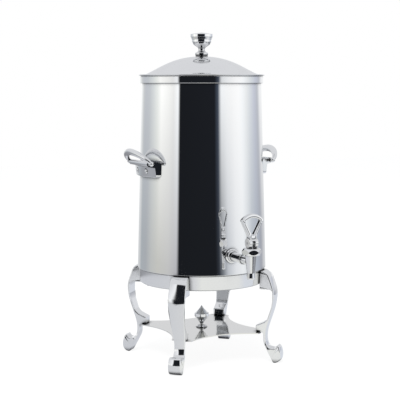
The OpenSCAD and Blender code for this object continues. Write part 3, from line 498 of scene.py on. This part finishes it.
def piece(name, verts, faces, body, slot, *replaced, sharp=SHARP):
    """An object that rides on a body, takes its look from a slot and stands for the replaced nodes."""
    mesh = bpy.data.meshes.new(name)
    mesh.from_pydata([Vector(v) * MM for v in verts], [], faces)
    mesh.validate()
    mesh.polygons.foreach_set("use_smooth", [True] * len(mesh.polygons))
    mesh.set_sharp_from_angle(angle=math.radians(sharp))
    mesh.materials.append(looks[slot])
    obj = bpy.data.objects.new(name, mesh)
    scene.collection.objects.link(obj)
    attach(obj, body)
    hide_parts(*replaced)


URN = Matrix.Translation((0, AXIS_Y, 0))


def lathe(name, line, body, slot, *replaced, seg):
    """A piece turned about the drum's axis, from a closed outline (r, z)."""
    verts, faces = lathe_mesh(held([Vector(p) for p in line]), seg)
    piece(name, placed(verts, URN), faces, body, slot, *replaced)


# ---- Drum, rim and base: sizes of part.scad ----
RIM_R, DRUM_H, SHEET, GAP = 118.4, 366.6, 1.0, 0.3
BAND_TOP = DRUM_Z - GAP
COLLAR_Z = DRUM_Z + DRUM_H
COLLAR_TOP = COLLAR_Z + 13.4
COLLAR_R = RIM_R + 3.9
LINER_OUT = RIM_R - SHEET - 7.4
BAND_R = FOOT_R - 2.2
STAND_H = BAND_TOP - 27.5
DRUM_FOLD, BAND_FOLD, BAND_SHELF, BAND_SHEET = 12, 14, 26, 1.5


def drum_r(z):
    """The drum's outer radius at a height."""
    return FOOT_R + (RIM_R - FOOT_R) * (z - DRUM_Z) / DRUM_H


skin_top = COLLAR_TOP - SHEET - GAP
lathe("drum_skin", rounded([
    (FOOT_R - DRUM_FOLD, DRUM_Z, 0), (FOOT_R, DRUM_Z, 1), (drum_r(skin_top), skin_top, 0),
    (drum_r(skin_top) - SHEET, skin_top, 0), (FOOT_R - SHEET, DRUM_Z + SHEET, 0),
    (FOOT_R - DRUM_FOLD, DRUM_Z + SHEET, 0)]), "urn", "drum_polish", "outer_drum", seg=LARGE_SEG)

collar_in, lip = drum_r(COLLAR_Z) + GAP, LINER_OUT + GAP
lathe("rim_band", rounded([
    (collar_in, COLLAR_Z, 0), (COLLAR_R, COLLAR_Z, 0.9), (COLLAR_R, COLLAR_TOP, 0.9), (lip, COLLAR_TOP, 0),
    (lip, COLLAR_TOP - SHEET, 0), (COLLAR_R - SHEET, COLLAR_TOP - SHEET, 0),
    (COLLAR_R - SHEET, COLLAR_Z + SHEET, 0), (collar_in, COLLAR_Z + SHEET, 0)]),
      "urn", "rim_polish", "rim_collar", seg=LARGE_SEG)

low_r = BAND_R - 1
shelf = BAND_TOP - BAND_SHEET
lathe("base_skirt", rounded([
    (low_r - BAND_FOLD, STAND_H, 0), (low_r, STAND_H, 1.2), (BAND_R, BAND_TOP, 1.2),
    (BAND_R - BAND_SHELF, BAND_TOP, 0), (BAND_R - BAND_SHELF, shelf, 0), (BAND_R - BAND_SHEET, shelf, 0),
    (low_r - BAND_SHEET, STAND_H + BAND_SHEET, 0), (low_r - BAND_FOLD, STAND_H + BAND_SHEET, 0)]),
      "urn", "band_polish", "base_band", seg=LARGE_SEG)

# ---- Lid: a dome with a rolled brim, and its knob ----
BEAD_R = 1.3
FLARE_R = COLLAR_R + 2.9 - BEAD_R
BEAD_Z = COLLAR_TOP + SHEET + GAP + BEAD_R
DOME_H, DOME_STEPS, SCREW_HOLE_R = 37.4, 72, 2.6


def dome_at(r, height):
    """How high the dome stands above its brim, at a distance from the axis."""
    t = r / FLARE_R
    return height * (1 - t * t) ** 2 * (1 + 0.95 * t * t)


dome_width = FLARE_R - BEAD_R - SCREW_HOLE_R
radii = [SCREW_HOLE_R + dome_width * i / DOME_STEPS for i in range(DOME_STEPS + 1)]
under = [Vector((r, BEAD_Z - SHEET / 2 + dome_at(r, DOME_H))) for r in radii]
over = [Vector((r, BEAD_Z + SHEET / 2 + dome_at(r, DOME_H - SHEET / 2))) for r in reversed(radii)]
bead = [Vector((FLARE_R, BEAD_Z)) + ray(a) * BEAD_R for a in range(-150, 151, 10)]
lathe("lid_dome", under + bead + over, "lid", "lid_polish", "lid_shell", seg=LARGE_SEG)

KNOB_R, NECK_R, KNOB_FOOT_R = 22.5, 6.6, 13
foot = BEAD_Z + DOME_H + 0.15
collar_end, neck_end, cup_end, knob_top = foot + 8, foot + 16, foot + 27.4, foot + 46.6
ring_z = [cup_end + (knob_top - cup_end) * k for k in (0.29, 0.5, 0.84)]
lathe("knob_turned", rounded([
    (0, foot, 0), (KNOB_FOOT_R - 1, foot, 0), (KNOB_FOOT_R, foot + 3, 2),
    (KNOB_FOOT_R, collar_end - 1.5, 1.2), (NECK_R + 2.5, collar_end, 1), (NECK_R, collar_end + 2.5, 2),
    (NECK_R, neck_end, 4), (KNOB_R - 6, cup_end - 4.5, 7), (KNOB_R - 4.1, cup_end, 0),
    (KNOB_R - 3, cup_end + 0.4, 0.3),
    (KNOB_R - 3, ring_z[0], 0.3), (KNOB_R - 1.9, ring_z[0] + 0.3, 0), (KNOB_R - 1.5, ring_z[1], 0.3),
    (KNOB_R, ring_z[1] + 0.4, 0.3), (KNOB_R, ring_z[2] - 0.6, 0.6), (KNOB_R - 2, ring_z[2], 0),
    (KNOB_R - 12, knob_top - 1.4, 8), (0, knob_top, 0)], 8),
      "lid", "knob_polish", "lid_knob", seg=KNOB_SEG)

# ---- Finial, on the middle of the cross plate ----
PLATE_Z, STUD_R, FIN_R, FIN_H = 60.0, 3.0, 14.5, 45.1
bowl, brow, tip = PLATE_Z + FIN_H * 0.488, PLATE_Z + FIN_H * 0.648, PLATE_Z + FIN_H
lathe("finial_turned", rounded([
    (0, PLATE_Z - 9, 0), (STUD_R, PLATE_Z - 9, 0), (STUD_R, PLATE_Z, 0), (FIN_R - 3.5, PLATE_Z, 0),
    (FIN_R - 3.5, PLATE_Z + 2.2, 0.8), (FIN_R - 6, PLATE_Z + 4, 1), (3.5, PLATE_Z + 4.4, 1),
    (3.5, PLATE_Z + 8, 3), (FIN_R - 2, bowl - 2, 9), (FIN_R, bowl + 0.6, 0.8), (FIN_R, brow - 0.6, 0.8),
    (FIN_R - 1.6, brow, 0.5), (3.6, tip - 5.5, 12), (0, tip, 0)], 8),
      "urn", "knob_polish", "finial", seg=SMALL_SEG)

# ---- Legs: a side outline (distance from the axis, height), from the pad down the back and up the front ----
LEG_T, EDGE_R, LEG_STEP = 5.8, 2.0, 3
PAD_R = BAND_R + GAP
LEG_TOP, PAD_FOOT = BAND_TOP - 1.5, STAND_H - 10.7
KNEE_R, KNEE_Z, ANKLE_R, TOE_R, LUG_R = BAND_R + 29.8, STAND_H - 30, BAND_R + 11.3, BAND_R + 43, BAND_R - 9.8
knee_back = KNEE_R - LEG_T + 0.4
leg_line = rounded([
    (PAD_R - 2.5, LEG_TOP, 2.2), (PAD_R - 2.5, PAD_FOOT, 2.4), (knee_back, PAD_FOOT, 6),
    (knee_back, KNEE_Z - 10.7, 60), (KNEE_R - 17.4, PLATE_Z + 23.2, 20), (LUG_R, PLATE_Z + 13.6, 3),
    (LUG_R, PLATE_Z, 2.2), (ANKLE_R - LEG_T, PLATE_Z, 5), (ANKLE_R - LEG_T, 38, 26), (TOE_R - 16.6, 0, 3),
    (TOE_R, 0, 13), (TOE_R, 21, 36), (TOE_R - 3.6, 33, 5), (TOE_R - 9.5, 35.5, 2.6), (TOE_R - 13.3, 27.4, 6),
    (ANKLE_R + 4.6, 30.2, 9), (ANKLE_R, 43, 37), (ANKLE_R, PLATE_Z + 2, 70), (KNEE_R + 2.95, KNEE_Z, 80),
    (KNEE_R - 11.6, LEG_TOP, 18)], 5)
# Half the leg's width, and how far its front face is crowned, by height
LEG_WIDTHS = [(0, 12.6), (24, 12.6), (38, 10.6), (PLATE_Z - 8, 10.6), (STAND_H - 34, 16.6),
              (STAND_H - 12, 17.4), (LEG_TOP, 16.6)]
LEG_CROWNS = [(0, 1.8), (20, 1.2), (44, 1.2), (STAND_H - 52, 1.4), (STAND_H - 42, 2.6), (STAND_H - 34, 2.0),
              (STAND_H - 22, 0.75), (STAND_H - 4, 0.7), (STAND_H + 12, 2.4), (LEG_TOP, 3.2)]
PAD_ZONE = PAD_FOOT - 5  # above it the leg stays outside the base band
FORK_Z = PLATE_Z - 16  # above it the side outline's two runs go down side by side


def lookup(x, table):
    """The value at x, on straight lines between the rows (x, value) of a table."""
    for (a, va), (b, vb) in zip(table, table[1:]):
        if x <= b:
            k = max(0, (x - a) / (b - a))
            return va + (vb - va) * k
    return table[-1][1]


def smooth_lookup(x, table, spread=(-6, -3, 0, 3, 6)):
    """The value at x, averaged with its neighbours', so that a table's corners are rounded."""
    return sum(lookup(x + d, table) for d in spread) / len(spread)


def zipped(p):
    """Triangles of a leg's side: its inner run is zipped to its outer run, from the pad to the foot."""
    def area(a, b, c):
        return (b - a).cross(c - a)

    i, j, faces = 0, len(p) - 1, []
    while j - i > 1:
        if max(p[i + 1].y, p[j - 1].y) > FORK_Z:
            inner_first = p[i + 1].y >= p[j - 1].y
        else:
            inner_first = (p[i + 1] - p[j]).length < (p[i] - p[j - 1]).length
        if (inner_first and area(p[i], p[i + 1], p[j]) > 0) or area(p[i], p[j - 1], p[j]) <= 0:
            faces.append((i, i + 1, j))
            i += 1
        else:
            faces.append((i, j - 1, j))
            j -= 1
    return faces


def leg(name, azimuth, node):
    """A leg in layers across its width: two flat sides, rounded edges and a crowned front between them."""
    line = divided(leg_line, LEG_STEP)
    n = len(line)
    edge = [(0, EDGE_R + 0.4), (0, EDGE_R)]
    edge += [(-EDGE_R * (1 - math.cos(a)), EDGE_R * (1 - math.sin(a))) for a in ROUND_STEPS]
    # Each layer: share of the half width, offset from it, inset of the outline, share of the crown
    layers = [(1, offset, inset, 1) for offset, inset in edge]
    layers += [(k / 5, -EDGE_R * k / 5, 0, (k / 5) ** 2) for k in range(4, -5, -1)]
    layers += [(-1, -offset, inset, 1) for offset, inset in reversed(edge)]
    verts = []
    turn = Matrix.Rotation(math.radians(azimuth - 90), 3, "Z")
    for share, offset, inset, crown in layers:
        for i, p in enumerate(line):
            t = (line[(i + 1) % n] - line[i - 1]).normalized()
            out = Vector((t.y, -t.x))
            d = inset + smooth_lookup(p.y, LEG_CROWNS) * crown * max(0, out.x)
            x, z = p - out * d
            y = share * smooth_lookup(p.y, LEG_WIDTHS) + offset
            if z > PAD_ZONE:
                x = max(x, math.sqrt(PAD_R ** 2 - y * y))
            verts.append(turn @ Vector((x, y, z)))
    side = zipped(line)
    last = (len(layers) - 1) * n
    faces = side + [tuple(last + i for i in reversed(f)) for f in side] + skin(len(layers), n, flip=True)
    piece(name, placed(verts, URN), faces, "urn", "leg_polish", node)


for name, azimuth in (("front_left", -45), ("front_right", 45), ("back_left", -135), ("back_right", 135)):
    leg("cast_leg_" + name, azimuth, "leg_" + name)

# ---- Side handles: each bail swells towards its bow, and ends in a turned knuckle at either pin ----
PIN_X, PIN_Z = 133.8, DRUM_Z + 213.3
KNUCKLE_Y, REACH, POWER = 52.9, 29.36, 1.75
KNUCKLE_R, KNUCKLE_BORE = 4.8, 2.55
ARM, BOW = Vector((2.5, 2.4)), Vector((7.2, 6))  # half the bail's width and thickness, at its ends and middle
SWELL = 0.7  # the lower, the sooner a bail is as stout as in its middle
BAIL_UP = 46  # degrees above level, as in the photograph
BAIL_RINGS, BAIL_SIDES, BAIL_END, SMALL_TURN = 73, 24, math.radians(5), 0.01
# A knuckle's outline: distance from the pin, and along the pin towards the ear
KNUCKLE_LINE = [Vector(p) for p in ((KNUCKLE_BORE, -6.8), (4, -6.8), (4, -4.3), (3.4, -4))]
KNUCKLE_LINE += [ray(a) * KNUCKLE_R for a in range(-42, 90, 6)]
KNUCKLE_LINE += [Vector((0, KNUCKLE_R)), Vector((0, -3)), Vector((KNUCKLE_BORE, -3))]


def bail_line(f):
    """A bail's middle line: distance from the pins and place along them, at an angle f from pin to pin."""
    c, s = math.cos(f), math.sin(f)
    return Vector((abs(s) ** (2 / POWER) * REACH, math.copysign(abs(c) ** (2 / POWER), c) * KNUCKLE_Y))


def bail(side, body):
    verts = []
    for i in range(BAIL_RINGS):
        f = BAIL_END + (math.pi - 2 * BAIL_END) * i / (BAIL_RINGS - 1)
        p = bail_line(f)
        t = (bail_line(f + SMALL_TURN) - bail_line(f - SMALL_TURN)).normalized()
        out = Vector((-t.y, t.x))
        width, thickness = ARM.lerp(BOW, math.sin(f) ** SWELL)
        for k in range(BAIL_SIDES):
            g = 2 * math.pi * k / BAIL_SIDES
            x, y = p + out * width * math.cos(g)
            verts.append(Vector((x, y, thickness * math.sin(g))))
    last = (BAIL_RINGS - 1) * BAIL_SIDES
    faces = [list(range(BAIL_SIDES)), [last + k for k in reversed(range(BAIL_SIDES))]]
    faces += skin(BAIL_RINGS, BAIL_SIDES, flip=True)
    knuckle_verts, knuckle_faces = lathe_mesh(KNUCKLE_LINE, KNUCKLE_SEG)
    for s in (1, -1):
        at_pin = Matrix.Translation((0, s * KNUCKLE_Y, 0)) @ Matrix.Rotation(math.radians(-90 * s), 4, "X")
        join(verts, faces, placed(knuckle_verts, at_pin), knuckle_faces)
    half_turn = Matrix.Rotation(math.pi, 4, "Z") if side == "left" else Matrix.Identity(4)
    raised = Matrix.Translation((PIN_X, 0, PIN_Z)) @ Matrix.Rotation(math.radians(-BAIL_UP), 4, "Y")
    verts = placed(verts, URN @ half_turn @ raised)
    piece("bail_cast_" + side, verts, faces, body, "handle_polish", "bail_" + side, sharp=50)


bail("left", "handle_left")
bail("right", "handle_right")

# ---- Tap body: a bored spout that narrows, leans and ends in an upright tip, and a tube to the shank ----
TAP_Y, TAP_Z = 205.0, DRUM_Z + 38
BARREL_TOP, SEAT_Z, TIP_Z = TAP_Z + 12, TAP_Z - 6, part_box("tap_body")[0].z / MM
TAP_AT = URN @ Matrix.Translation((0, -TAP_Y, 0))
BARREL_R, BARREL_BORE, SEAT_BORE, SPOUT_BORE = 10.9, 5.8, 3, 3.8
TIP_IN, TIP_R, TIP_NECK, TIP_TOP, TIP_ROUND = 2.5, 7.9, 7.3, TIP_Z + 12, 2.6
SHANK_R, SHANK_BORE, SHANK_END, TUBE_LENGTH = 8.5, 4.5, 33, 24


def tap_body():
    # Level rings from the barrel down to the tip and up inside: set in from the tap's axis, height, radius
    rings = [(4.0, BARREL_TOP, BARREL_R), (3.96, BARREL_TOP - 0.8, BARREL_R - 0.08),
             (2.6, TIP_TOP + 2, TIP_NECK + 0.15), (TIP_IN, TIP_TOP + 0.4, TIP_NECK + 0.02),
             (TIP_IN, TIP_TOP - 0.4, TIP_NECK), (TIP_IN, TIP_Z + 3, TIP_R),
             (TIP_IN, TIP_Z + TIP_ROUND, TIP_R)]
    rings += [(TIP_IN, TIP_Z + TIP_ROUND * (1 - math.sin(a)), TIP_R - TIP_ROUND * (1 - math.cos(a)))
              for a in ROUND_STEPS]
    rings += [(TIP_IN, TIP_Z, SPOUT_BORE + 0.2), (TIP_IN, TIP_Z + 0.4, SPOUT_BORE),
              (TIP_IN, SEAT_Z - 8, SPOUT_BORE), (0, SEAT_Z - 5, SEAT_BORE), (0, SEAT_Z, SEAT_BORE),
              (0, SEAT_Z, BARREL_BORE), (0, BARREL_TOP, BARREL_BORE)]
    turns = [2 * math.pi * k / SMALL_SEG for k in range(SMALL_SEG)]
    verts = [Vector((r * math.cos(a), inset + r * math.sin(a), z)) for inset, z, r in rings for a in turns]
    faces = skin(len(rings), SMALL_SEG, closed=True)
    tube = ((SHANK_R, 0), (SHANK_R, TUBE_LENGTH), (SHANK_BORE, TUBE_LENGTH), (SHANK_BORE, 0))
    tube_verts, tube_faces = lathe_mesh([Vector(p) for p in tube], SMALL_SEG)
    level = Matrix.Translation((0, SHANK_END, TAP_Z)) @ Matrix.Rotation(math.radians(90), 4, "X")
    join(verts, faces, placed(tube_verts, level), tube_faces)
    piece("tap_body_cast", placed(verts, TAP_AT), faces, "urn", "tap_polish", "tap_body")


tap_body()

# ---- Lever: a slotted hub with a bridge behind its slot, and a fan of rounded bars ----
HUB_R, HUB_W, SLOT_W, EYE_R, PIN_BORE = 9.4, 19.0, 6.4, 5.2, 2.05
BONNET_H = 13
HUB_Z = BARREL_TOP + BONNET_H + GAP + HUB_R
LEVER_H, LEVER_HALF, LEVER_D, FAN_Z, FAN_FOOT = 54.8, 22.2, 12.3, 12.0, 7.6
FAN_MID = Vector((0, 33))
SHOULDER = LEVER_H - 13
ARCH_R, ARCH_FROM, ARCH_STEPS = 26.0, 35.4, 14
BAR_STATIONS, BAR_ROUND, BAR_CROWN = 180, 1.3, 4.4
BRIDGE_TOP, BRIDGE_FROM, BRIDGE_LAP, EYE_FROM, EYE_TO, BRIDGE_STEP = 4.6, -70, 0.2, 114, -54, 6
EYE_EDGE = -2.4
# The fan's outer and inner outlines: x, height above the lever's pin, radius
arch_angles = [ARCH_FROM + k * (180 - 2 * ARCH_FROM) / ARCH_STEPS for k in range(ARCH_STEPS + 1)]
arch = [(*(Vector((0, LEVER_H - ARCH_R)) + ray(a) * ARCH_R), 0) for a in arch_angles]
fan_out = rounded([
    (-FAN_FOOT, 4, 1), (FAN_FOOT, 4, 1), (FAN_FOOT, FAN_Z, 3), (LEVER_HALF, SHOULDER, 1.5), *arch,
    (-LEVER_HALF, SHOULDER, 1.5), (-FAN_FOOT, FAN_Z, 3)])
fan_in = rounded([
    (-2.6, 15.5, 1.2), (2.6, 15.5, 1.2), (16.6, SHOULDER, 1.2), (0, LEVER_H - 5.8, 24),
    (-16.6, SHOULDER, 1.2)])


def crossing(line, a):
    """The point where a closed outline meets the ray at angle a, in radians, from the fan's middle."""
    way = Vector((math.cos(a), math.sin(a)))
    for p, q in zip(line, line[1:] + line[:1]):
        u, v = p - FAN_MID, q - FAN_MID
        if way.cross(u) <= 0 < way.cross(v) and way.dot(u) + way.dot(v) > 0:
            return FAN_MID + u.lerp(v, way.cross(u) / (way.cross(u) - way.cross(v)))


def lever():
    # The fan: a ring of sections (distance from its inner outline, y) that follows both outlines
    verts = []
    depth = LEVER_D / 2 - BAR_CROWN
    corner = [math.radians(a) for a in range(0, 91, 18)]
    for k in range(BAR_STATIONS):
        a = 2 * math.pi * k / BAR_STATIONS
        inner, outer = crossing(fan_in, a), crossing(fan_out, a)
        width, across = (outer - inner).length, (outer - inner).normalized()
        section = [(width - BAR_ROUND * (1 - math.cos(c)), depth + BAR_CROWN * math.sin(c)) for c in corner]
        section += [(BAR_ROUND * (1 - math.sin(c)), depth + BAR_CROWN * math.cos(c)) for c in corner]
        section += [(d, -y) for d, y in reversed(section)]
        for d, y in section:
            x, z = inner + across * d
            verts.append(Vector((x, y, z)))
    faces = skin(BAR_STATIONS, len(section), closed=True)

    # The hub's cheeks, turned about the pin: an outline (distance from the pin, x)
    half_slot, half_hub = SLOT_W / 2, HUB_W / 2
    cheek = rounded([
        (PIN_BORE, half_slot, 0), (HUB_R, half_slot, 0.3), (HUB_R, half_hub, 0.8), (PIN_BORE, half_hub, 0)])
    cheek_verts, cheek_faces = lathe_mesh(held(cheek), SMALL_SEG)
    for side in (90, -90):
        join(verts, faces, placed(cheek_verts, Matrix.Rotation(math.radians(side), 4, "Y")), cheek_faces)

    # The bridge behind the stem's eye: an outline (y, height), with its open ends inside the cheeks
    last = 180 - math.degrees(math.asin(BRIDGE_TOP / HUB_R))
    bridge = [ray(a) * HUB_R for a in range(BRIDGE_FROM, int(last), BRIDGE_STEP)]
    bridge += [ray(last) * HUB_R, Vector((EYE_EDGE, BRIDGE_TOP))]
    bridge += [ray(a) * EYE_R for a in range(EYE_FROM, EYE_TO - 1, -BRIDGE_STEP)]
    first, ends = len(verts), (-half_slot - BRIDGE_LAP, half_slot + BRIDGE_LAP)
    verts += [Vector((x, y, z)) for x in ends for y, z in bridge]
    faces += skin(2, len(bridge), first=first)
    at_hub = TAP_AT @ Matrix.Translation((0, 0, HUB_Z))
    piece("lever_cast", placed(verts, at_hub), faces, "lever", "tap_polish", "tap_lever")


lever()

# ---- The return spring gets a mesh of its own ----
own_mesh(nodes["return_spring"])
